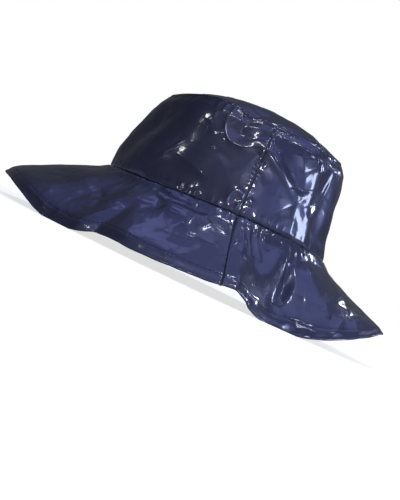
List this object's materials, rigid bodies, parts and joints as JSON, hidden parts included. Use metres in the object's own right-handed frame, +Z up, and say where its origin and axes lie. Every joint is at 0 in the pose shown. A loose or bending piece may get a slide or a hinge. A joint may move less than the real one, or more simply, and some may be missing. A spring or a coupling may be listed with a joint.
{
  "type": "wide brim rain hat",
  "caption": "Wide-brimmed rain hat in glossy coated cloth, with a domed oval crown and a soft waving brim with a stitched hem.",
  "frame": {"origin": "on the surface that the hat rests on, under the middle of the brim", "axes": "-Y is the front of the hat, +X the wearer's left, +Z up"},
  "size_m": [0.2971, 0.3526, 0.1588],
  "materials": {
    "coated_cloth": "wet-look navy vinyl coating on soft cloth, softly creased",
    "cloth_back": "matte knitted backing of the coated cloth",
    "thread": "dark navy sewing thread"
  },
  "bodies": {
    "root": {"crown_tip": "coated_cloth", "crown_side_front": "coated_cloth", "crown_side_back": "coated_cloth", "brim_front": "coated_cloth", "brim_back": "coated_cloth"}
  },
  "joints": []
}
